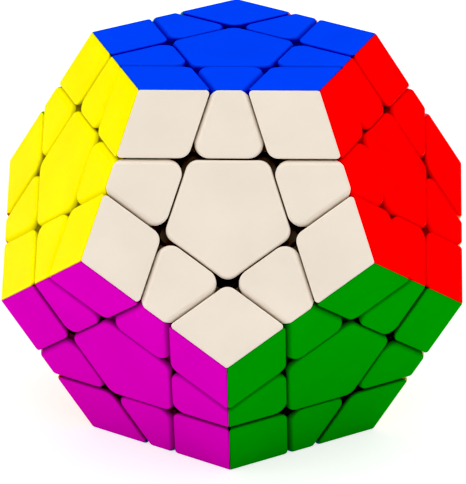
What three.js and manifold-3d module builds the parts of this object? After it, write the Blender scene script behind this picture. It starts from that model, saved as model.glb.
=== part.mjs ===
// A dodecahedron twisty puzzle: twelve coloured faces, each cut into a centre, five edges and five corners.
// Any face turns about its own axis and takes along the eleven pieces that show on it.
//
// Inside, a ball core carries twelve arms. A centre turns on each arm, held by a screw and a spring. Every
// edge has a foot that reaches under two centres, and every corner has a foot that reaches under three
// edges, so the centres hold the edges and the edges hold the corners. The surfaces that slide past each
// other are planes and cones about a face axis, so that a face turns freely.
//
// The white, lime and sky faces are built to turn: they are three faces that share no piece.
// Each of their centres is a base, a cap and a screw. The other nine centres are one body with the core.
//
// Units are millimetres, +Z is up, and the puzzle stands on its sky (light blue) face at Z = 0.

import * as THREE from "three";
import { ConvexGeometry } from "three/addons/geometries/ConvexGeometry.js";
import { mergeVertices } from "three/addons/utils/BufferGeometryUtils.js";
import Module from "manifold-3d";

// ---- Driving dimensions ----

const EDGE = 33; // edge length of the dodecahedron
const CORNER_SHARE = 0.414; // share of an edge that the corner piece takes at each end
const GAP = 0.36; // clearance between neighbouring pieces, as seen from outside
const SLIDE = 0.6; // clearance between the cones and steps inside
const HOLE_REACH = 3.2; // from the point where four tiles meet to the tips of the hole there
const HOLE_DEPTH = 6;
const NECK_ANGLE = 43; // degrees from a face axis to the edge of its layer, above the feet
const FOOT_ANGLE = 48; // the same, at the feet
const FOOT_TOP = 19.5; // distance of the feet's upper surface from the centre of the puzzle
const FOOT_BOTTOM = 13.8; // distance of the feet's lower surface
const CORE_RADIUS = 12.5;
const ARM_RADIUS = 3.2;
const ARM_TOP = 18.2; // distance of an arm's end from the centre of the puzzle
const CAP_THICKNESS = 3.3;
const CLEARANCE = 0.3; // gap that parts of one centre keep from each other

// Heights are distances from the centre of the puzzle, along the screw's own axis.
const SCREW = { radius: 1.25, tip: 9.6, headBottom: 29.7, headTop: 31.9, headRadius: 3 };
const RECESS = { width: 0.8, length: 3.4, depth: 1.2 };
const BORE = { radius: 1.6, bottom: 9.2 }; // in the core, for the screw
const WELL = { radius: 4.1, bottom: 23.8, holeRadius: 1.8 }; // in a base, for the spring and screw head
const PLUG = { outer: 3.75, inner: 2.95, depth: 1.1 }; // ring under a cap that presses into the well

// ---- Proportions of a regular dodecahedron ----

const PHI = (1 + Math.sqrt(5)) / 2;
const FIFTH = (2 * Math.PI) / 5;
const TILT = Math.acos(1 / Math.sqrt(5)); // angle between the axes of adjoining faces
const IN_RADIUS = (EDGE * PHI * PHI) / (2 * Math.sqrt(3 - PHI)); // centre of the puzzle to a face
const OUT_RADIUS = (EDGE * Math.sqrt(3) * PHI) / 2; // centre of the puzzle to a corner
const APOTHEM = EDGE / 2 / Math.tan(FIFTH / 2); // centre of a face to its edges
// A cut runs alongside each edge of a face, in a plane square to the axis of the face beyond that edge. CUT
// is the distance of that plane from the centre of the puzzle.
const CUT_LINE = APOTHEM - CORNER_SHARE * EDGE * Math.sin(FIFTH); // centre of a face to its cuts
const CUT = IN_RADIUS * Math.cos(TILT) + CUT_LINE * Math.sin(TILT);
const BEYOND = 1.3 * OUT_RADIUS; // how far tools reach that pass right through

const ROUND = 20; // segments of the surfaces about a face axis

// ---- Faces ----

function faceAxis(tilt, turn) {
  const flat = Math.sin(tilt);
  return new THREE.Vector3(flat * Math.sin(turn), -flat * Math.cos(turn), Math.cos(tilt));
}

// Both rings run from the front (-Y) towards +X.
const UPPER_RING = [
  ["white", 0xf0e6d8],
  ["red", 0xe80404],
  ["pink", 0xf590b8],
  ["lime", 0x7fd834],
  ["yellow", 0xffee00],
];
const LOWER_RING = [
  ["green", 0x008a08],
  ["cream", 0xf5eaa0],
  ["grey", 0x8c8f94],
  ["orange", 0xff7a12],
  ["purple", 0xc400ae],
];
const FACES = [
  { name: "blue", colour: 0x0a38e0, axis: faceAxis(0, 0) },
  ...UPPER_RING.map(([name, colour], k) => ({ name, colour, axis: faceAxis(TILT, k * FIFTH) })),
  ...LOWER_RING.map(([name, colour], k) => ({
    name,
    colour,
    axis: faceAxis(Math.PI - TILT, (k + 0.5) * FIFTH),
  })),
  { name: "sky", colour: 0x4cc4f0, axis: faceAxis(Math.PI, 0) },
];
const TURNING = ["white", "lime", "sky"];
const BLACK = 0x15130f;
const STEEL = 0xa8abb0;

const adjoin = (a, b) => a !== b && a.axis.angleTo(b.axis) < TILT + 0.01;

// Every pair of faces that share an edge, and every three that share a corner.
const PAIRS = [];
const TRIPLES = [];
FACES.forEach((a, i) => {
  FACES.slice(i + 1)
    .filter((b) => adjoin(a, b))
    .forEach((b) => {
      PAIRS.push([a, b]);
      FACES.slice(FACES.indexOf(b) + 1)
        .filter((c) => adjoin(a, c) && adjoin(b, c))
        .forEach((c) => TRIPLES.push([a, b, c]));
    });
});

// ---- Solids: three.js geometry in, manifold-3d joins and cuts, geometry out ----

const wasm = await Module();
wasm.setup();

function solidOf(geometry) {
  const bare = geometry.clone();
  bare.deleteAttribute("normal");
  bare.deleteAttribute("uv");
  const merged = mergeVertices(bare, 1e-4);
  return new wasm.Manifold(
    new wasm.Mesh({
      numProp: 3,
      vertProperties: merged.attributes.position.array,
      triVerts: new Uint32Array(merged.index.array),
    }),
  );
}

// Faces that lie in one plane are merged first.
function geometryOf(solid) {
  const mesh = solid.asOriginal().simplify(0.002).getMesh();
  return new THREE.BufferGeometry()
    .setAttribute("position", new THREE.BufferAttribute(mesh.vertProperties, 3))
    .setIndex(new THREE.BufferAttribute(mesh.triVerts, 1));
}

const minus = (solid, ...tools) => tools.reduce((left, tool) => left.subtract(tool), solid);
const join = (...solids) => solids.reduce((whole, solid) => whole.add(solid));
const common = (...solids) => solids.reduce((left, solid) => left.intersect(solid));

// Turns a geometry built on +Z onto the axis of a face.
function onto(face, geometry) {
  const turn = new THREE.Quaternion().setFromUnitVectors(new THREE.Vector3(0, 0, 1), face.axis);
  return geometry.applyQuaternion(turn);
}

// A cylinder on the axis of a face, between two heights.
function rod(face, radius, bottom, top, segments = 16) {
  const cylinder = new THREE.CylinderGeometry(radius, radius, top - bottom, segments)
    .rotateX(Math.PI / 2)
    .translate(0, 0, (bottom + top) / 2);
  return solidOf(onto(face, cylinder));
}

// A box on the axis of a face, between two heights.
function block(face, width, length, bottom, top) {
  const box = new THREE.BoxGeometry(width, length, top - bottom).translate(0, 0, (bottom + top) / 2);
  return solidOf(onto(face, box));
}

const slab = (face, bottom, top) => block(face, 2 * BEYOND, 2 * BEYOND, bottom, top);
const ball = (radius, detail) => solidOf(new THREE.IcosahedronGeometry(radius, detail));

// ---- The outer shape, and the holes where four tiles meet ----

function dodecahedron() {
  const corners = TRIPLES.map(([a, b, c]) =>
    new THREE.Vector3().add(a.axis).add(b.axis).add(c.axis).setLength(OUT_RADIUS),
  );
  return solidOf(new ConvexGeometry(corners));
}

// The outline of a hole: its tips lie along the two cuts, `spread` apart in angle, and a curve between
// neighbouring tips touches both cuts.
function holeOutline(spread) {
  const outline = new THREE.Shape();
  outline.moveTo(HOLE_REACH, 0);
  const tips = [0, spread, Math.PI, Math.PI + spread, 2 * Math.PI];
  tips.slice(1).forEach((tip, i) => {
    const middle = (tips[i] + tip) / 2;
    const half = (tip - tips[i]) / 2;
    const away = HOLE_REACH / Math.cos(half);
    outline.absarc(
      away * Math.cos(middle),
      away * Math.sin(middle),
      HOLE_REACH * Math.tan(half),
      tips[i] - Math.PI / 2,
      tip + Math.PI / 2,
      true,
    );
  });
  return outline;
}

// The cuts of two adjoining faces cross on a line that comes out through two other faces. This is the hole
// at the end of that line on the side that `sign` gives.
function junctionHole(a, b, sign) {
  const cosine = a.axis.dot(b.axis);
  const along = new THREE.Vector3().crossVectors(a.axis, b.axis).normalize().multiplyScalar(sign);
  const out = FACES.find((face) => adjoin(face, a) && adjoin(face, b) && face.axis.dot(along) > 0);
  const crossing = a.axis.clone().add(b.axis).multiplyScalar(CUT / (1 + cosine));
  const surface = (IN_RADIUS - crossing.dot(out.axis)) / along.dot(out.axis);

  const inCutA = b.axis.clone().addScaledVector(a.axis, -cosine).normalize();
  const inCutB = a.axis.clone().addScaledVector(b.axis, -cosine).normalize();
  const aside = new THREE.Vector3().crossVectors(along, inCutA);
  const spread = Math.atan2(inCutB.dot(aside), inCutB.dot(inCutA));
  const turned = spread < 0 ? spread + Math.PI : spread;
  const hole = new THREE.ExtrudeGeometry(holeOutline(turned), {
    depth: 2 * HOLE_DEPTH,
    bevelEnabled: false,
    curveSegments: 1,
  });
  hole.translate(0, 0, surface - HOLE_DEPTH);
  hole.applyMatrix4(new THREE.Matrix4().makeBasis(inCutA, aside, along).setPosition(crossing));
  return solidOf(hole);
}

function outerBody() {
  const holes = PAIRS.flatMap(([a, b]) => [junctionHole(a, b, 1), junctionHole(a, b, -1)]);
  return minus(dodecahedron(), ...holes);
}

// ---- The layer that turns with a face ----

// The section of the inner part of a layer about +Z: it widens to the neck cone, with a wider foot cone
// below FOOT_TOP. `grow` moves its surface out all round, or in if it is negative.
function conesSection(grow) {
  const neck = THREE.MathUtils.degToRad(NECK_ANGLE);
  const foot = THREE.MathUtils.degToRad(FOOT_ANGLE);
  const top = CUT + 2;
  const side = Math.sqrt((FOOT_TOP + grow) ** 2 - grow ** 2);
  const onStep = (angle) => [
    side * Math.sin(angle) + grow * Math.cos(angle),
    side * Math.cos(angle) - grow * Math.sin(angle),
  ];
  return [
    [0, -grow / Math.sin(foot)],
    onStep(foot),
    onStep(neck),
    [top * Math.tan(neck) + grow / Math.cos(neck), top],
    [0, top],
  ];
}

// The layer's own side of the clearances has `side` -1, and what stays behind has 1.
function layer(face, side) {
  const section = conesSection((side * SLIDE) / 2).map((point) => new THREE.Vector2(...point));
  const cones = new THREE.LatheGeometry(section, ROUND).rotateX(Math.PI / 2);
  return solidOf(onto(face, cones)).add(slab(face, CUT - (side * GAP) / 2, BEYOND));
}

const body = outerBody();
const layers = new Map(FACES.map((face) => [face, { inside: layer(face, -1), outside: layer(face, 1) }]));

// The part of the body that lies in the layers of these faces and of no other.
function partOf(...owners) {
  const inside = owners.map((face) => layers.get(face).inside);
  const others = FACES.filter((face) => !owners.includes(face));
  return minus(common(body, ...inside), ...others.map((face) => layers.get(face).outside));
}

// ---- Pieces ----

function movingPiece(...owners) {
  return partOf(...owners).subtract(ball(FOOT_BOTTOM, 1));
}

// A whole centre with its stem, down to where it rests on its arm. Deeper down it widens with the cuts, but
// the sides of its cap are straight, so that the cap can be pulled off.
function centre(face) {
  const around = FACES.filter((other) => adjoin(face, other)).map((other) => {
    const towards = other.axis.clone().projectOnPlane(face.axis).normalize();
    const outside = slab({ axis: towards }, CUT_LINE - GAP / 2 / Math.sin(TILT), BEYOND);
    return common(outside, slab(face, IN_RADIUS - CAP_THICKNESS - CLEARANCE, BEYOND));
  });
  return minus(partOf(face), slab(face, -BEYOND, ARM_TOP + CLEARANCE), ...around);
}

function centreBase(face) {
  return minus(
    centre(face),
    slab(face, IN_RADIUS - CAP_THICKNESS - CLEARANCE, BEYOND),
    rod(face, WELL.radius, WELL.bottom, BEYOND, 24),
    rod(face, WELL.holeRadius, 0, BEYOND),
  );
}

function centreCap(face) {
  const underside = IN_RADIUS - CAP_THICKNESS;
  const plug = minus(
    rod(face, PLUG.outer, underside - PLUG.depth, underside + 1, 24),
    rod(face, PLUG.inner, 0, underside, 24),
  );
  return join(centre(face).subtract(slab(face, -BEYOND, underside)), plug);
}

function screw(face) {
  const recessBottom = SCREW.headTop - RECESS.depth;
  return minus(
    join(
      rod(face, SCREW.radius, SCREW.tip, SCREW.headBottom + 0.5, 14),
      rod(face, SCREW.headRadius, SCREW.headBottom, SCREW.headTop, 20),
    ),
    block(face, RECESS.width, RECESS.length, recessBottom, BEYOND),
    block(face, RECESS.length, RECESS.width, recessBottom, BEYOND),
  );
}

// The ball with its twelve arms, bored for the screws of the turning faces, and the nine other centres.
function core() {
  const turning = FACES.filter((face) => TURNING.includes(face.name));
  const fixed = FACES.filter((face) => !TURNING.includes(face.name));
  return minus(
    join(
      ball(CORE_RADIUS, 3),
      ...turning.map((face) => rod(face, ARM_RADIUS, 0, ARM_TOP)),
      ...fixed.map((face) => rod(face, ARM_RADIUS, 0, FOOT_TOP)),
      ...fixed.map((face) => centre(face)),
    ),
    ...turning.map((face) => rod(face, BORE.radius, BORE.bottom, BEYOND)),
  );
}

// ---- The group ----

const group = new THREE.Group();

function addPiece(name, solid, colour, roughness, metalness = 0) {
  const material = new THREE.MeshStandardMaterial({ color: colour, roughness, metalness });
  const piece = new THREE.Mesh(geometryOf(solid), material);
  piece.name = name;
  piece.position.z = IN_RADIUS;
  group.add(piece);
}

const nameOf = (kind, faces) => [kind, ...faces.map((face) => face.name)].join("_");

addPiece("core", core(), BLACK, 0.5);
PAIRS.forEach((faces) => {
  addPiece(nameOf("edge", faces), movingPiece(...faces), faces[0].colour, 0.4);
});
TRIPLES.forEach((faces) => {
  addPiece(nameOf("corner", faces), movingPiece(...faces), faces[0].colour, 0.4);
});
FACES.filter((face) => TURNING.includes(face.name)).forEach((face) => {
  addPiece(nameOf("base", [face]), centreBase(face), BLACK, 0.5);
  addPiece(nameOf("cap", [face]), centreCap(face), face.colour, 0.4);
  addPiece(nameOf("screw", [face]), screw(face), STEEL, 0.35, 1);
});

export default group;
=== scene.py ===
"""A stickerless dodecahedron puzzle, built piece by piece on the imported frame, with a studio to show it in.

Every edge and corner is a black inner body with a foot, and a coloured plate for each face it shows on.
Every centre is a black base, a coloured cap, and a screw with a washer and a spring that holds the base
down on an arm of the core. Lengths are in metres, and +Z is up.
"""

import math

import bpy
from mathutils import Matrix, Vector


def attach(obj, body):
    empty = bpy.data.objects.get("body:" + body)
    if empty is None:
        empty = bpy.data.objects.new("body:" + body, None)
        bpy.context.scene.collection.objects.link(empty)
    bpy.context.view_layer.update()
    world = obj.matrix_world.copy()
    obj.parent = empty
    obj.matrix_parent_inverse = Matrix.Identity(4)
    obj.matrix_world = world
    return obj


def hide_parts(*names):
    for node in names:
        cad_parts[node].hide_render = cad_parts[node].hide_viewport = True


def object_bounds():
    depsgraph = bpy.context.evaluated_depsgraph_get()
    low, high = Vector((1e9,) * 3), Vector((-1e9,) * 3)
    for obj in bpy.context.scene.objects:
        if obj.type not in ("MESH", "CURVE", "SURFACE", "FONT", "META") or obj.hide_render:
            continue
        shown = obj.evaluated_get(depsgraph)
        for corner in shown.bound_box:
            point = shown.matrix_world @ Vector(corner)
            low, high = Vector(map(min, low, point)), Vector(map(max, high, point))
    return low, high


MM = 0.001
PHI = (1 + math.sqrt(5)) / 2

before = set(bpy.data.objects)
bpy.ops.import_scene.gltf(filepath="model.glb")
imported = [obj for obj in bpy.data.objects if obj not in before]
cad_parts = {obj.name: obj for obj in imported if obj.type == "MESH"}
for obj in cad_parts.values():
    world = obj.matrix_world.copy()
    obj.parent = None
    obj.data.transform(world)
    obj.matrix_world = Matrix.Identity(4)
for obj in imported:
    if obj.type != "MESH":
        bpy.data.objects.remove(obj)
first_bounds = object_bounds()

# ---- Dimensions ----

IN_RADIUS = (first_bounds[1].z - first_bounds[0].z) / 2  # centre of the puzzle to a face
EDGE = IN_RADIUS * 2 * math.sqrt(3 - PHI) / PHI**2
MIDDLE = Vector((0, 0, IN_RADIUS))
FIFTH = 2 * math.pi / 5
TILT = math.acos(1 / math.sqrt(5))  # angle between the axes of adjoining faces
APOTHEM = EDGE / 2 / math.tan(FIFTH / 2)
HALF_TILT = math.tan(TILT / 2)  # how much a plate narrows with depth where two faces meet

CORNER_SHARE = 0.414  # share of an edge that the corner piece takes at each end
CUT_LINE = APOTHEM - CORNER_SHARE * EDGE * math.sin(FIFTH)  # centre of a face to its cuts
CUT = IN_RADIUS * math.cos(TILT) + CUT_LINE * math.sin(TILT)  # centre of the puzzle to a cut plane

GAP = 0.36 * MM
SEAM = 0.02 * MM  # between the plates of one piece
JUNCTION_RADIUS = 2.4 * MM  # outline corners round the hole where four plates meet
NOTCH_RADIUS = 0.6 * MM  # outline corners beside a gap, at the edge of a face
POINT_RADIUS = 0.5 * MM  # outline corner at a corner of the dodecahedron
RIM_WIDTH = 0.55 * MM  # of the rounded rims along the gaps
RIM_DEPTH = 0.9 * MM
RIM_PAINTED_SHADE = 0.65  # how much painted shade darkens the plastic down a rim, for the shadow in the gaps
EDGE_ROUND = 0.6 * MM  # radius along the dodecahedron's edges
PLATE = 2.4 * MM  # thickness of the plates of edges and corners
CAP = 3.3 * MM  # thickness of a cap
RELIEF = 0.3 * MM  # how far plates step back behind their rims, at RELIEF_DEPTH
RELIEF_DEPTH = 1.3 * MM

# Inside, distances from the centre of the puzzle, and angles off the axis of a face.
SLIDE = 0.6 * MM  # room between a layer and what stays behind
NECK_ANGLE = math.radians(43)  # half angle of a layer above the feet
FOOT_ANGLE = math.radians(48)  # and at the feet
FOOT_TOP = 19.5 * MM
FOOT_BOTTOM = 13.8 * MM
CORE_RADIUS = 12.5 * MM
ARM_RADIUS = 3.2 * MM
ARM_TOP = 18.2 * MM
CORE_BORE = 1.35 * MM
BASE_BORE = 1.8 * MM
WELL_RADIUS = 4.1 * MM
WELL_FLOOR = 23.8 * MM
SCREW_TIP = 9.6 * MM
THREAD_TOP = 18 * MM
WASHER_BOTTOM = 29.15 * MM
WASHER_TOP = 29.6 * MM
HEAD_BOTTOM = 29.7 * MM
HEAD_TOP = 31.9 * MM

# ---- Faces ----

COLOURS = {
    "blue": (0, 74, 247),
    "white": (240, 228, 213),
    "red": (255, 0, 0),
    "pink": (247, 140, 180),
    "lime": (120, 214, 40),
    "yellow": (255, 243, 0),
    "green": (0, 160, 6),
    "cream": (246, 234, 160),
    "grey": (140, 143, 148),
    "orange": (255, 118, 14),
    "purple": (226, 0, 197),
    "sky": (76, 196, 240),
}


class Face:
    """One face: its axis, and directions along it; angles on it are measured from `across`."""

    def __init__(self, name, tilt, turn):
        self.name = name
        flat = math.sin(tilt)
        self.axis = Vector((flat * math.sin(turn), -flat * math.cos(turn), math.cos(tilt)))

    def meet(self, faces):
        """Finds the faces around this one, in order."""
        around = [face for face in faces if face is not self and face.axis.angle(self.axis) < TILT + 0.01]
        self.across = (around[0].axis - self.axis * self.axis.dot(around[0].axis)).normalized()
        self.along = self.axis.cross(self.across)
        self.angles = {face: self.angle_to(face) for face in around}
        self.around = sorted(around, key=self.angles.get)

    def angle_to(self, face):
        return math.atan2(face.axis.dot(self.along), face.axis.dot(self.across)) % (2 * math.pi)

    def point(self, x, y, depth):
        return MIDDLE + self.axis * (IN_RADIUS - depth) + self.across * x + self.along * y

    def matrix(self):
        """Carries a piece built about +Z, over the centre of the puzzle, onto this face's axis."""
        turn = Matrix((self.across, self.along, self.axis)).transposed()
        return Matrix.Translation(MIDDLE) @ turn.to_4x4()


def make_faces():
    upper = ["white", "red", "pink", "lime", "yellow"]
    lower = ["green", "cream", "grey", "orange", "purple"]
    faces = [Face("blue", 0, 0)]
    faces += [Face(name, TILT, k * FIFTH) for k, name in enumerate(upper)]
    faces += [Face(name, math.pi - TILT, (k + 0.5) * FIFTH) for k, name in enumerate(lower)]
    faces += [Face("sky", math.pi, 0)]
    for face in faces:
        face.meet(faces)
    return faces


FACES = make_faces()
TURNING = ("white", "lime", "sky")  # faces whose layer turns
PULLING = ("white", "lime")  # faces whose cap pulls off

# The faces that meet at each edge, and at each corner.
PAIRS = [(a, b) for i, a in enumerate(FACES) for b in FACES[i + 1 :] if b in a.angles]
TRIPLES = [
    (a, b, c) for a, b in PAIRS for c in FACES[FACES.index(b) + 1 :] if c in a.angles and c in b.angles
]


def names_of(faces):
    return "_".join(face.name for face in faces)


def body_of(faces):
    """The CAD body that a piece of these faces rides on."""
    for name in TURNING:
        if name in [face.name for face in faces]:
            return name + "_layer"
    return "core"


# ---- Materials ----


def linear(rgb):
    """An sRGB colour of 0 to 255 as linear RGBA."""
    parts = [c / 255 for c in rgb]
    return [c / 12.92 if c <= 0.04045 else ((c + 0.055) / 1.055) ** 2.4 for c in parts] + [1]


def new_material(name):
    material = bpy.data.materials.new(name)
    material.use_nodes = True
    nodes = material.node_tree.nodes
    return material, nodes, material.node_tree.links, nodes["Principled BSDF"]


def add_noise(nodes, links, scale, detail):
    coordinates = nodes.new("ShaderNodeTexCoord")
    texture = nodes.new("ShaderNodeTexNoise")
    texture.inputs["Scale"].default_value = scale
    texture.inputs["Detail"].default_value = detail
    links.new(coordinates.outputs["Object"], texture.inputs["Vector"])
    return texture.outputs["Fac"]


def add_grain(nodes, links, shader, scale, strength):
    """A fine roughness of the surface."""
    bump = nodes.new("ShaderNodeBump")
    bump.inputs["Strength"].default_value = strength
    bump.inputs["Distance"].default_value = 0.02 * MM
    links.new(add_noise(nodes, links, scale, 2), bump.inputs["Height"])
    links.new(bump.outputs["Normal"], shader.inputs["Normal"])


def add_mottle(nodes, links, colour):
    """A colour that darkens a little in patches about a centimetre wide."""
    ramp = nodes.new("ShaderNodeValToRGB")
    dark, light = ramp.color_ramp.elements
    dark.position = 0.3
    dark.color = [c * 0.94 for c in colour[:3]] + [1]
    light.position = 0.7
    light.color = colour
    links.new(add_noise(nodes, links, 90, 3), ramp.inputs["Fac"])
    return ramp.outputs["Color"]


def paint_rim_shade(nodes, links, colour, rim_painted_shade):
    """Darkens a colour down the rims of the plates with painted shade, standing in for the shadow in the gaps
    between them.
    """
    rim = nodes.new("ShaderNodeAttribute")
    rim.attribute_name = "rim"
    amount = nodes.new("ShaderNodeMath")
    amount.operation = "MULTIPLY"
    amount.inputs[1].default_value = rim_painted_shade
    shade = nodes.new("ShaderNodeMixRGB")
    shade.blend_type = "MULTIPLY"
    shade.inputs["Color2"].default_value = (0.2, 0.2, 0.2, 1)
    links.new(rim.outputs["Fac"], amount.inputs[0])
    links.new(amount.outputs["Value"], shade.inputs["Fac"])
    links.new(colour, shade.inputs["Color1"])
    return shade.outputs["Color"]


def moulded_plastic(name, rgb, roughness, specular, grain, rim_painted_shade=0):
    material, nodes, links, shader = new_material(name)
    colour = add_mottle(nodes, links, linear(rgb))
    # painted shade down the rims, for the shadow in the gaps
    if rim_painted_shade:
        colour = paint_rim_shade(nodes, links, colour, rim_painted_shade)
    links.new(colour, shader.inputs["Base Color"])
    add_grain(nodes, links, shader, 2600, grain)
    shader.inputs["Roughness"].default_value = roughness
    shader.inputs["Specular IOR Level"].default_value = specular
    return material


def metal(name, rgb, roughness):
    material, nodes, links, shader = new_material(name)
    add_grain(nodes, links, shader, 1500, 0.1)
    shader.inputs["Base Color"].default_value = linear(rgb)
    shader.inputs["Metallic"].default_value = 1
    shader.inputs["Roughness"].default_value = roughness
    return material


UNSHADED_RIMS = ("white", "cream", "yellow", "red")  # no painted shade on the rims of these
PLASTIC = {
    name: moulded_plastic(name + " plastic", rgb, 0.3, 0.04, 0.12, 0 if name in UNSHADED_RIMS else RIM_PAINTED_SHADE)
    for name, rgb in COLOURS.items()
}
BLACK = moulded_plastic("black plastic", (88, 76, 68), 0.5, 0.3, 0.2)
STEEL = metal("zinc plated steel", (190, 192, 196), 0.3)
SPRING_STEEL = metal("spring steel", (160, 158, 152), 0.25)

# ---- Meshes ----


def join_rings(rings, start=0, closed=False):
    """Faces that join each ring to the next. The ends are filled, or joined if closed. `start` is the place
    of the first ring's first point among the points."""
    count = len(rings[0])
    stop = start + len(rings) * count
    faces = []
    for row in range(len(rings) if closed else len(rings) - 1):
        low = start + row * count
        high = start + (row + 1) % len(rings) * count
        for k in range(count):
            after = (k + 1) % count
            faces.append((low + k, low + after, high + after, high + k))
    if not closed:
        faces.append(tuple(range(start, start + count))[::-1])
        faces.append(tuple(range(stop - count, stop)))
    return faces


def build(name, rings, closed=False, matrix=None):
    """An object from rings of points."""
    mesh = bpy.data.meshes.new(name)
    mesh.from_pydata([point for ring in rings for point in ring], [], join_rings(rings, closed=closed))
    return add_object(name, mesh, matrix)


def turn_outward(mesh):
    """Flips the faces of a mesh that is inside out."""
    volume = 0
    for polygon in mesh.polygons:
        corners = [mesh.vertices[i].co for i in polygon.vertices]
        for a, b in zip(corners[1:], corners[2:]):
            volume += corners[0].dot(a.cross(b))
    if volume < 0:
        mesh.flip_normals()


def add_object(name, mesh, matrix=None):
    """Links a mesh into the scene, smooth but for its sharp edges."""
    turn_outward(mesh)
    mesh.shade_smooth()
    mesh.set_sharp_from_angle(angle=math.radians(38))
    obj = bpy.data.objects.new(name, mesh)
    bpy.context.scene.collection.objects.link(obj)
    if matrix:
        obj.matrix_world = matrix
    weighted = obj.modifiers.new("Weighted normals", "WEIGHTED_NORMAL")
    weighted.keep_sharp = True
    return obj


def finish_piece(obj, material, body, nodes):
    obj.data.materials.append(material)
    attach(obj, body)
    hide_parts(*nodes)


def circle(radius, height, count, scale_at=None):
    """A ring about +Z. scale_at(angle) may scale its radius."""
    ring = []
    for k in range(count):
        angle = 2 * math.pi * k / count
        reach = radius * (scale_at(angle) if scale_at else 1)
        ring.append(Vector((reach * math.cos(angle), reach * math.sin(angle), height)))
    return ring


# ---- Plates: the coloured part of a piece on one face ----

ARC_STEPS = 8
RIM_STEPS = 8
LEAST_ROUND = 0.05 * MM  # least radius of an outline's corners
FLAT_MARGIN = 0.35 * MM  # the flat of a plate starts this far inside its rims
EASE = 0.25 * MM  # chamfer round the underside of a plate


class Wall:
    """One side of a plate: `side` 1 lies within the cut, -1 beyond it, and 0 along an edge of the face.
    `corner` is the radius of the outline's corner between this wall and the next. A straight wall stands
    upright, on the cut at the foot of its rim. The others follow the cut, which leans out with depth."""

    def __init__(self, angle, side, corner, straight=False):
        self.angle = angle + (math.pi if side < 0 else 0)
        self.side = side
        self.corner = corner
        self.straight = straight

    def inset(self, depth):
        """How far the rounded rim lies inside the wall."""
        if self.side:
            left = max(1 - depth / RIM_DEPTH, 0)
            return RIM_WIDTH * (1 - math.sqrt(1 - left**2))
        left = EDGE_ROUND - depth
        return max(HALF_TILT * left - math.sqrt(EDGE_ROUND**2 - left**2), 0) if left > 0 else 0

    def distance(self, depth):
        """From the axis of the face to the wall, below the rim."""
        if self.side == 0:
            return HALF_TILT * (IN_RADIUS - depth) - SEAM / 2
        below = RIM_DEPTH if self.straight else depth
        return self.side * (CUT_LINE + below / 2) - GAP / 2 / math.sin(TILT)


def outline(walls, depth, shrink=0):
    """The rounded outline of a plate at a depth under its face, as points on the face."""
    points = []
    for wall, after in zip(walls, walls[1:] + walls[:1]):
        insets = [side.inset(depth) + shrink for side in (wall, after)]
        reach = [side.distance(depth) - inset for side, inset in zip((wall, after), insets)]
        turn = (after.angle - wall.angle) % (2 * math.pi)
        cross = math.sin(turn)
        x = (reach[0] * math.sin(after.angle) - reach[1] * math.sin(wall.angle)) / cross
        y = (reach[1] * math.cos(wall.angle) - reach[0] * math.cos(after.angle)) / cross
        radius = max(wall.corner - min(insets), LEAST_ROUND)
        back = radius / math.cos(turn / 2)
        x -= back * math.cos(wall.angle + turn / 2)
        y -= back * math.sin(wall.angle + turn / 2)
        for step in range(ARC_STEPS + 1):
            angle = wall.angle + turn * step / ARC_STEPS
            points.append((x + radius * math.cos(angle), y + radius * math.sin(angle)))
    return points


def rim_depths():
    return [RIM_DEPTH * (1 - math.cos(math.pi / 2 * k / RIM_STEPS)) for k in range(RIM_STEPS + 1)]


def plate_rings(face, walls, thickness):
    """Rings from the flat of the top, over the rim and down the walls, to the chamfered underside."""
    levels = [(0, FLAT_MARGIN)] + [(depth, 0) for depth in rim_depths()]
    levels += [(RELIEF_DEPTH - RELIEF, 0), (RELIEF_DEPTH, RELIEF)]
    levels += [(thickness - EASE, RELIEF), (thickness, RELIEF + EASE)]
    return [[face.point(x, y, depth) for x, y in outline(walls, depth, shrink)] for depth, shrink in levels]


def mark_painted_rim_shade(plate, face):
    """Stores how much of the painted rim shade each point of a plate gets: all at the foot of its rim, and
    less and less further down the wall."""
    marks = plate.data.attributes.new("rim", "FLOAT", "POINT")
    for vertex, mark in zip(plate.data.vertices, marks.data):
        depth = max(IN_RADIUS - (vertex.co - MIDDLE).dot(face.axis), 0)
        mark.value = max(min(math.sqrt(depth / RIM_DEPTH), 2 - depth / RIM_DEPTH), 0)


def centre_walls(face):
    """A cap's walls are straight, so that it pulls out between its neighbours."""
    return [Wall(face.angles[other], 1, JUNCTION_RADIUS, straight=True) for other in face.around]


def edge_walls(face, other):
    angle = face.angles[other]
    return [
        Wall(angle, 0, NOTCH_RADIUS),
        Wall(angle + FIFTH, 1, JUNCTION_RADIUS),
        Wall(angle, -1, JUNCTION_RADIUS),
        Wall(angle - FIFTH, 1, NOTCH_RADIUS),
    ]


def corner_walls(face, one, two):
    following = face.around[(face.around.index(one) + 1) % 5]
    angle = face.angles[one if following is two else two]
    return [
        Wall(angle, 0, POINT_RADIUS),
        Wall(angle + FIFTH, 0, NOTCH_RADIUS),
        Wall(angle, -1, JUNCTION_RADIUS),
        Wall(angle + FIFTH, -1, NOTCH_RADIUS),
    ]


def add_plates(kind, faces):
    node = f"{kind}_{names_of(faces)}"
    for face in faces:
        others = [other for other in faces if other is not face]
        walls = edge_walls(face, *others) if kind == "edge" else corner_walls(face, *others)
        plate = build(f"{face.name}_plate.{node}", plate_rings(face, walls, PLATE))
        # where the painted shade falls down the rims
        mark_painted_rim_shade(plate, face)
        finish_piece(plate, PLASTIC[face.name], body_of(faces), [node])


# ---- Inner bodies: black, with the foot that holds the piece in ----

AROUND = 80  # points in a ring of an inner body
SHARPNESS = 16  # the lower, the rounder the corners of an inner body
INSET = 0.12 * MM  # inner bodies stay behind the plates' walls
NECK_BLEND = 0.4 * MM  # height over which a foot narrows into its neck


def smoothstep(x):
    x = min(max(x, 0), 1)
    return x * x * (3 - 2 * x)


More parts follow.
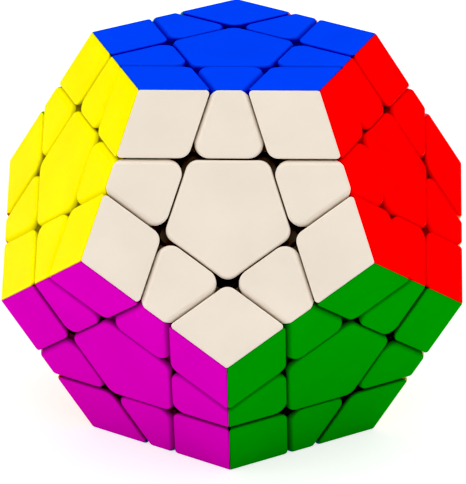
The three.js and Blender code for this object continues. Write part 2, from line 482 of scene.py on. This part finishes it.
def layer_angle(radius, side):
    """Half angle of a face's layer at a distance from the centre of the puzzle. `side` is -1 for the pieces
    of the layer and 1 for what stays behind."""
    step = FOOT_TOP + side * SLIDE / 2
    neck = smoothstep((radius - step) / NECK_BLEND + 0.5)
    angle = FOOT_ANGLE + (NECK_ANGLE - FOOT_ANGLE) * neck + side * SLIDE / 2 / radius
    plane = CUT - side * (GAP / 2 + INSET)
    return max(angle, math.acos(plane / radius)) if radius > plane else angle


class Cone:
    """Directions from the centre of the puzzle that belong to a piece, around the piece's own axis."""

    def __init__(self, owners):
        self.owners = owners
        self.axis = sum((face.axis for face in owners), Vector()).normalized()
        beside = owners[0].axis if len(owners) > 1 else owners[0].around[0].axis
        self.across = (beside - self.axis * self.axis.dot(beside)).normalized()
        self.along = self.axis.cross(self.across)
        # Only faces on the piece's own side of the puzzle can bound it.
        self.near = [face for face in FACES if face.axis.angle(self.axis) < math.radians(100)]

    def sideways(self, turn):
        return self.across * math.cos(turn) + self.along * math.sin(turn)

    def direction(self, turn, off):
        return self.axis * math.cos(off) + self.sideways(turn) * math.sin(off)

    def reach(self, turn, radius):
        """How far off the axis the piece reaches, as an angle, with its corners rounded. The layers of its
        own faces hold it, and those of the other faces keep it out."""
        flat = self.sideways(turn)
        total = 0
        for face in self.near:
            a = self.axis.dot(face.axis)
            b = flat.dot(face.axis)
            own = face in self.owners
            size = math.hypot(a, b)
            level = math.cos(layer_angle(radius, -1 if own else 1)) / size
            if level >= 1:
                continue
            crossing = math.atan2(b, a) + (1 if own else -1) * math.acos(level)
            if crossing > 0:
                total += crossing**-SHARPNESS
        return total ** (-1 / SHARPNESS)


def inner_body(name, owners):
    cone = Cone(owners)
    roof = IN_RADIUS - PLATE - 0.05 * MM  # from the centre of the puzzle, just clear of the plates
    turns = [2 * math.pi * k / AROUND for k in range(AROUND)]
    rings = []

    def roof_radius(direction):
        return roof / max(direction.dot(face.axis) for face in owners)

    def side_top(turn):
        """Where the side at this turn meets the roof, found by going half of the way to it twelve times."""
        radius = 36 * MM
        for _ in range(12):
            radius = (radius + roof_radius(cone.direction(turn, cone.reach(turn, radius)))) / 2
        return radius

    def add_ring(radii, scale=1):
        ring = []
        for turn, radius in zip(turns, radii):
            ring.append(MIDDLE + cone.direction(turn, cone.reach(turn, radius) * scale) * radius)
        rings.append(ring)

    foot = [(0, 0.3), (0, 0.75), (0.03, 0.9), (0.15, 0.97), (0.4, 1), (2, 1), (4, 1), (4.9, 1)]
    for rise, scale in foot:
        add_ring([FOOT_BOTTOM + rise * MM] * AROUND, scale)

    shoulder = FOOT_TOP + 0.7 * MM  # where the neck has its full width
    for k in range(11):
        add_ring([shoulder + (0.13 * k - 1.3) * MM] * AROUND)

    tops = [side_top(turn) for turn in turns]
    for k in range(1, 9):
        add_ring([shoulder + (top - 0.25 * MM - shoulder) * k / 8 for top in tops])

    edges = [cone.reach(turn, top) for turn, top in zip(turns, tops)]
    for scale in (0.975, 0.9, 0.75, 0.5, 0.2):
        directions = [cone.direction(turn, edge * scale) for turn, edge in zip(turns, edges)]
        rings.append([MIDDLE + direction * roof_radius(direction) for direction in directions])
    return build(name, rings)


def add_inner_body(kind, faces):
    node = f"{kind}_{names_of(faces)}"
    body = inner_body(f"body.{node}", faces)
    finish_piece(body, BLACK, body_of(faces), [node])


# ---- Centres ----


def centre_reach(cone, turn, height):
    """From a face's axis to the side of its base, at a height over the centre of the puzzle. The angle is
    found by repetition, because it depends on the distance from the centre, which depends on the angle."""
    off = math.radians(20)
    for _ in range(10):
        off = cone.reach(turn, height / math.cos(off))
    return height * math.tan(off)


def base_rings(face):
    """The base of a centre about +Z: up the outside, over the top, and down the well and the screw hole."""
    cone = Cone([face])
    turns = [2 * math.pi * k / AROUND for k in range(AROUND)]
    bottom = ARM_TOP + 0.3 * MM
    top = IN_RADIUS - CAP - 0.1 * MM
    ease = 0.3 * MM

    def side(height, inset=0):
        ring = []
        for turn in turns:
            reach = centre_reach(cone, turn, height) - inset
            ring.append(Vector((reach * math.cos(turn), reach * math.sin(turn), height)))
        return ring

    heights = [bottom + ease, FOOT_TOP - 0.4 * MM]
    heights += [FOOT_TOP + (0.1 * k - 0.3) * MM for k in range(11)]
    heights += [height * MM for height in (22, 24, 26.5, 29, 31)]
    heights.append(top - ease)
    rings = [side(bottom, ease)]
    rings += [side(height) for height in heights]
    rings.append(side(top, ease))
    bore = [(WELL_RADIUS + ease, top), (WELL_RADIUS, top - ease), (WELL_RADIUS, WELL_FLOOR + ease)]
    bore += [(WELL_RADIUS - ease, WELL_FLOOR), (BASE_BORE, WELL_FLOOR), (BASE_BORE, bottom)]
    return rings + [circle(radius, height, AROUND) for radius, height in bore]


def cap_rings(face):
    """A cap: over the top and down the walls, then the ring under it that presses into the well."""
    rings = plate_rings(face, centre_walls(face), CAP)
    turns = [math.atan2(y, x) for x, y in outline(centre_walls(face), 0)]
    plug = [(3.75, 0), (3.75, 0.9), (3.6, 1.1), (3.1, 1.1), (2.95, 0.9), (2.95, -0.3), (1, -0.3)]
    for reach, drop in plug:
        radius = reach * MM
        depth = CAP + drop * MM
        circle_points = [(radius * math.cos(turn), radius * math.sin(turn)) for turn in turns]
        rings.append([face.point(x, y, depth) for x, y in circle_points])
    return rings


def cross_recess(angle):
    """Outline of a cross-headed recess, as a share of its arms' length."""
    half_width = 0.24
    near = (angle + math.pi / 4) % (math.pi / 2) - math.pi / 4
    along = 1 / max(math.cos(near), 0.01)
    beside = half_width / max(abs(math.sin(near)), 0.01)
    return min(along, max(beside, half_width * math.sqrt(2) * 0.9))


def screw_rings():
    """A pan-headed screw about +Z, from its tip up, with a thread on the lower part of its shank."""
    count = 40
    pitch = 0.8 * MM
    thread_bottom = SCREW_TIP + 0.5 * MM

    def rings_at(section, height, scale_at=None):
        return [circle(radius * MM, height + rise * MM, count, scale_at) for radius, rise in section]

    def thread_ring(height):
        def stand_out(angle):
            phase = (height / pitch - angle / (2 * math.pi)) % 1
            return 1.04 + 0.3 * (1 - abs(2 * phase - 1))

        return circle(0.95 * MM, height, count, stand_out)

    rings = rings_at([(0.5, 0), (0.9, 0.3)], SCREW_TIP)
    for k in range(int((THREAD_TOP - thread_bottom) / (pitch / 8))):
        rings.append(thread_ring(thread_bottom + k * pitch / 8))
    rings += rings_at([(1.05, 0.2)], THREAD_TOP)
    rings += rings_at([(1.05, -0.3), (1.2, 0), (2.8, 0), (3, 0.2), (3, 1.3), (2.85, 1.7)], HEAD_BOTTOM)
    rings += rings_at([(2.5, -0.2), (2, -0.05), (1.8, 0)], HEAD_TOP)
    rings += rings_at([(1.6, 0), (1.5, -0.15), (1.1, -1.1), (0.3, -1.3)], HEAD_TOP, cross_recess)
    return rings


def washer_rings():
    ease = 0.1 * MM
    inner, outer = 1.5 * MM, 3.05 * MM
    section = [(inner, WASHER_BOTTOM), (outer - 0.15 * MM, WASHER_BOTTOM), (outer, WASHER_BOTTOM + ease)]
    section += [(outer, WASHER_TOP - ease), (outer - 0.15 * MM, WASHER_TOP), (inner, WASHER_TOP)]
    return [circle(radius, height, 40) for radius, height in section]


def spring_rings():
    """A coil spring between the floor of the well and the washer, with closed ends."""
    wire = 0.28 * MM  # radius of the wire
    radius = 2.6 * MM
    turns = 6.5
    low = WELL_FLOOR + wire + 0.02 * MM
    high = WASHER_BOTTOM - wire - 0.02 * MM
    closed = 1.2 / turns  # share of the turns that is closed at each end
    closed_rise = 1.05 * wire
    steps = int(turns * 24)
    rings = []
    for k in range(steps + 1):
        share = k / steps
        between = min(max((share - closed) / (1 - 2 * closed), 0), 1)
        rise = 0.35 * smoothstep(between) + 0.65 * between
        ends = (min(share, closed) + max(share - 1 + closed, 0)) / closed
        height = low + closed_rise * ends + (high - low - 2 * closed_rise) * rise
        angle = 2 * math.pi * turns * share
        out = Vector((math.cos(angle), math.sin(angle), 0))
        centre = out * radius + Vector((0, 0, height))
        ring = []
        for side in range(8):
            bend = 2 * math.pi * side / 8
            ring.append(centre + out * wire * math.cos(bend) + Vector((0, 0, wire * math.sin(bend))))
        rings.append(ring)
    return rings


def add_centre(face):
    """The centre of a face. CAD has parts of their own for the three that turn, and the core stands for the
    others."""
    turning = face.name in TURNING
    body = body_of([face])
    cap_body = face.name + "_cap" if face.name in PULLING else body
    screw_body = face.name + "_screw" if turning else body
    base_node = "base_" + face.name if turning else "core"
    cap_node = "cap_" + face.name if turning else "core"
    screw_node = "screw_" + face.name if turning else "core"
    matrix = face.matrix()

    base = build(f"base.{face.name}", base_rings(face), closed=True, matrix=matrix)
    finish_piece(base, BLACK, body, [base_node])
    cap = build(f"cap.{face.name}", cap_rings(face))
    # where the painted shade falls down the rims
    mark_painted_rim_shade(cap, face)
    finish_piece(cap, PLASTIC[face.name], cap_body, [cap_node])
    screw = build(f"screw.{face.name}", screw_rings(), matrix=matrix)
    finish_piece(screw, STEEL, screw_body, [screw_node])
    washer = build(f"washer.{face.name}", washer_rings(), closed=True, matrix=matrix)
    finish_piece(washer, STEEL, screw_body, [screw_node])
    spring = build(f"spring.{face.name}", spring_rings(), matrix=matrix)
    finish_piece(spring, SPRING_STEEL, body, [base_node])


# ---- Core ----


def add_rods(name, rings):
    """One mesh with a rod of these rings on the axis of every face, to join to the core or cut from it."""
    points = []
    faces = []
    for face in FACES:
        matrix = face.matrix()
        faces += join_rings(rings, len(points))
        points += [matrix @ point for ring in rings for point in ring]
    mesh = bpy.data.meshes.new(name)
    mesh.from_pydata(points, [], faces)
    turn_outward(mesh)
    rods = bpy.data.objects.new(name, mesh)
    bpy.context.scene.collection.objects.link(rods)
    return rods


def add_core():
    """The ball with its arms, bored for the screws."""
    count = 32
    ease = 0.3 * MM
    arm = [(ARM_RADIUS, 8 * MM), (ARM_RADIUS, ARM_TOP - ease), (ARM_RADIUS - ease, ARM_TOP)]
    arms = add_rods("arms", [circle(radius, height, count) for radius, height in arm])
    bores = add_rods("bores", [circle(CORE_BORE, height, count) for height in (9.2 * MM, 30 * MM)])
    bpy.ops.mesh.primitive_ico_sphere_add(subdivisions=5, radius=CORE_RADIUS, location=MIDDLE)
    ball = bpy.context.object
    for operation, tool in (("UNION", arms), ("DIFFERENCE", bores)):
        boolean = ball.modifiers.new(operation, "BOOLEAN")
        boolean.operation = operation
        boolean.object = tool
        boolean.solver = "EXACT"

    graph = bpy.context.evaluated_depsgraph_get()
    mesh = bpy.data.meshes.new_from_object(ball.evaluated_get(graph))
    mesh.transform(ball.matrix_world)
    mesh.materials.clear()
    for tool in (ball, arms, bores):
        bpy.data.objects.remove(tool)
    core = add_object("core_ball", mesh)
    finish_piece(core, BLACK, "core", ["core"])


# ---- The puzzle ----

add_core()
for face in FACES:
    add_centre(face)
for kind, groups in (("edge", PAIRS), ("corner", TRIPLES)):
    for faces in groups:
        add_plates(kind, faces)
        add_inner_body(kind, faces)

# ---- Studio ----

SKY_LIGHT = 1.57  # strength of the light from straight above
PAPER = 0.9  # lightness of the floor
FLOOR_GLOW = 0.68  # what the floor adds to its own light and shadow for the camera
FLOOR_SHADE = 0.55  # how much of that light and shadow it shows the camera
BLACK_LEVEL = 0.022  # light that the display shows as black
AREA_LIGHTS = {  # place in metres, and power in watts
    "left": ((-1.2, -0.3, 0.2), 6.2),
    "right": ((1.2, -0.3, 0.2), 4.9),
    "front": ((0.05, -0.85, 0.95), 2.1),
}
CAMERA_PLACE = (0.0246, -0.842, 0.3737)
CAMERA_TURN = 1.68  # degrees to the left of +Y
CAMERA_DIP = 21.93  # degrees below level
CAMERA_ROLL = -0.28  # degrees
CAMERA_LENS = 371.3  # millimetres, on a sensor 36 mm wide


def add_floor():
    """White paper, bright enough where it is seen to lose all but the deepest of the shadow."""
    bpy.ops.mesh.primitive_plane_add(size=30)
    floor = bpy.context.object
    floor.name = "floor"
    material, nodes, links, shader = new_material("white paper")
    shader.inputs["Roughness"].default_value = 0.9
    shader.inputs["Specular IOR Level"].default_value = 0
    shader.inputs["Emission Color"].default_value = (1, 1, 1, 1)
    path = nodes.new("ShaderNodeLightPath")
    for name, otherwise, seen in (
        ("Emission Strength", 0, FLOOR_GLOW),
        ("Base Color", PAPER, PAPER * FLOOR_SHADE),
    ):
        choice = nodes.new("ShaderNodeMapRange")
        choice.inputs["To Min"].default_value = otherwise
        choice.inputs["To Max"].default_value = seen
        links.new(path.outputs["Is Camera Ray"], choice.inputs["Value"])
        links.new(choice.outputs["Result"], shader.inputs[name])
    floor.data.materials.append(material)


def add_world():
    """A backdrop that is white to the camera. Its light comes from overhead only, so that the upright faces
    reflect little of it."""
    world = bpy.data.worlds.new("studio")
    world.use_nodes = True
    nodes = world.node_tree.nodes
    links = world.node_tree.links
    coordinates = nodes.new("ShaderNodeTexCoord")
    parts = nodes.new("ShaderNodeSeparateXYZ")
    light = nodes.new("ShaderNodeMapRange")
    light.interpolation_type = "SMOOTHSTEP"
    light.inputs["From Min"].default_value = 0.35
    light.inputs["From Max"].default_value = 0.9
    light.inputs["To Min"].default_value = 0
    light.inputs["To Max"].default_value = SKY_LIGHT
    path = nodes.new("ShaderNodeLightPath")
    strength = nodes.new("ShaderNodeMath")
    strength.operation = "MAXIMUM"
    links.new(coordinates.outputs["Generated"], parts.inputs[0])
    links.new(parts.outputs["Z"], light.inputs["Value"])
    links.new(light.outputs["Result"], strength.inputs[0])
    links.new(path.outputs["Is Camera Ray"], strength.inputs[1])
    links.new(strength.outputs["Value"], nodes["Background"].inputs["Strength"])
    nodes["Background"].inputs["Color"].default_value = (1, 1, 1, 1)
    bpy.context.scene.world = world


def add_light(name, place, power):
    """A soft round light that points at the puzzle."""
    light = bpy.data.lights.new(name, "AREA")
    light.shape = "DISK"
    light.size = 0.8
    light.energy = power
    obj = bpy.data.objects.new(name, light)
    obj.location = place
    obj.rotation_euler = (MIDDLE - Vector(place)).to_track_quat("-Z", "Y").to_euler()
    bpy.context.scene.collection.objects.link(obj)


def add_camera():
    camera = bpy.data.cameras.new("camera")
    camera.sensor_fit = "HORIZONTAL"
    camera.sensor_width = 36
    camera.lens = CAMERA_LENS
    camera.clip_end = 100
    turn = Matrix.Rotation(math.radians(CAMERA_TURN), 3, "Z")
    dip = Matrix.Rotation(math.radians(90 - CAMERA_DIP), 3, "X")
    roll = Matrix.Rotation(math.radians(CAMERA_ROLL), 3, "Z")
    obj = bpy.data.objects.new("camera", camera)
    obj.location = CAMERA_PLACE
    obj.rotation_euler = (turn @ dip @ roll).to_euler()
    bpy.context.scene.collection.objects.link(obj)
    bpy.context.scene.camera = obj


def set_display():
    """Plain colours, with a slight black level that keeps the darkest of them pure."""
    view = bpy.context.scene.view_settings
    view.view_transform = "Standard"
    view.use_curve_mapping = True
    view.curve_mapping.black_level = (BLACK_LEVEL, BLACK_LEVEL, BLACK_LEVEL)
    view.curve_mapping.update()


add_floor()
add_world()
for name, (place, power) in AREA_LIGHTS.items():
    add_light(name, place, power)
add_camera()
set_display()
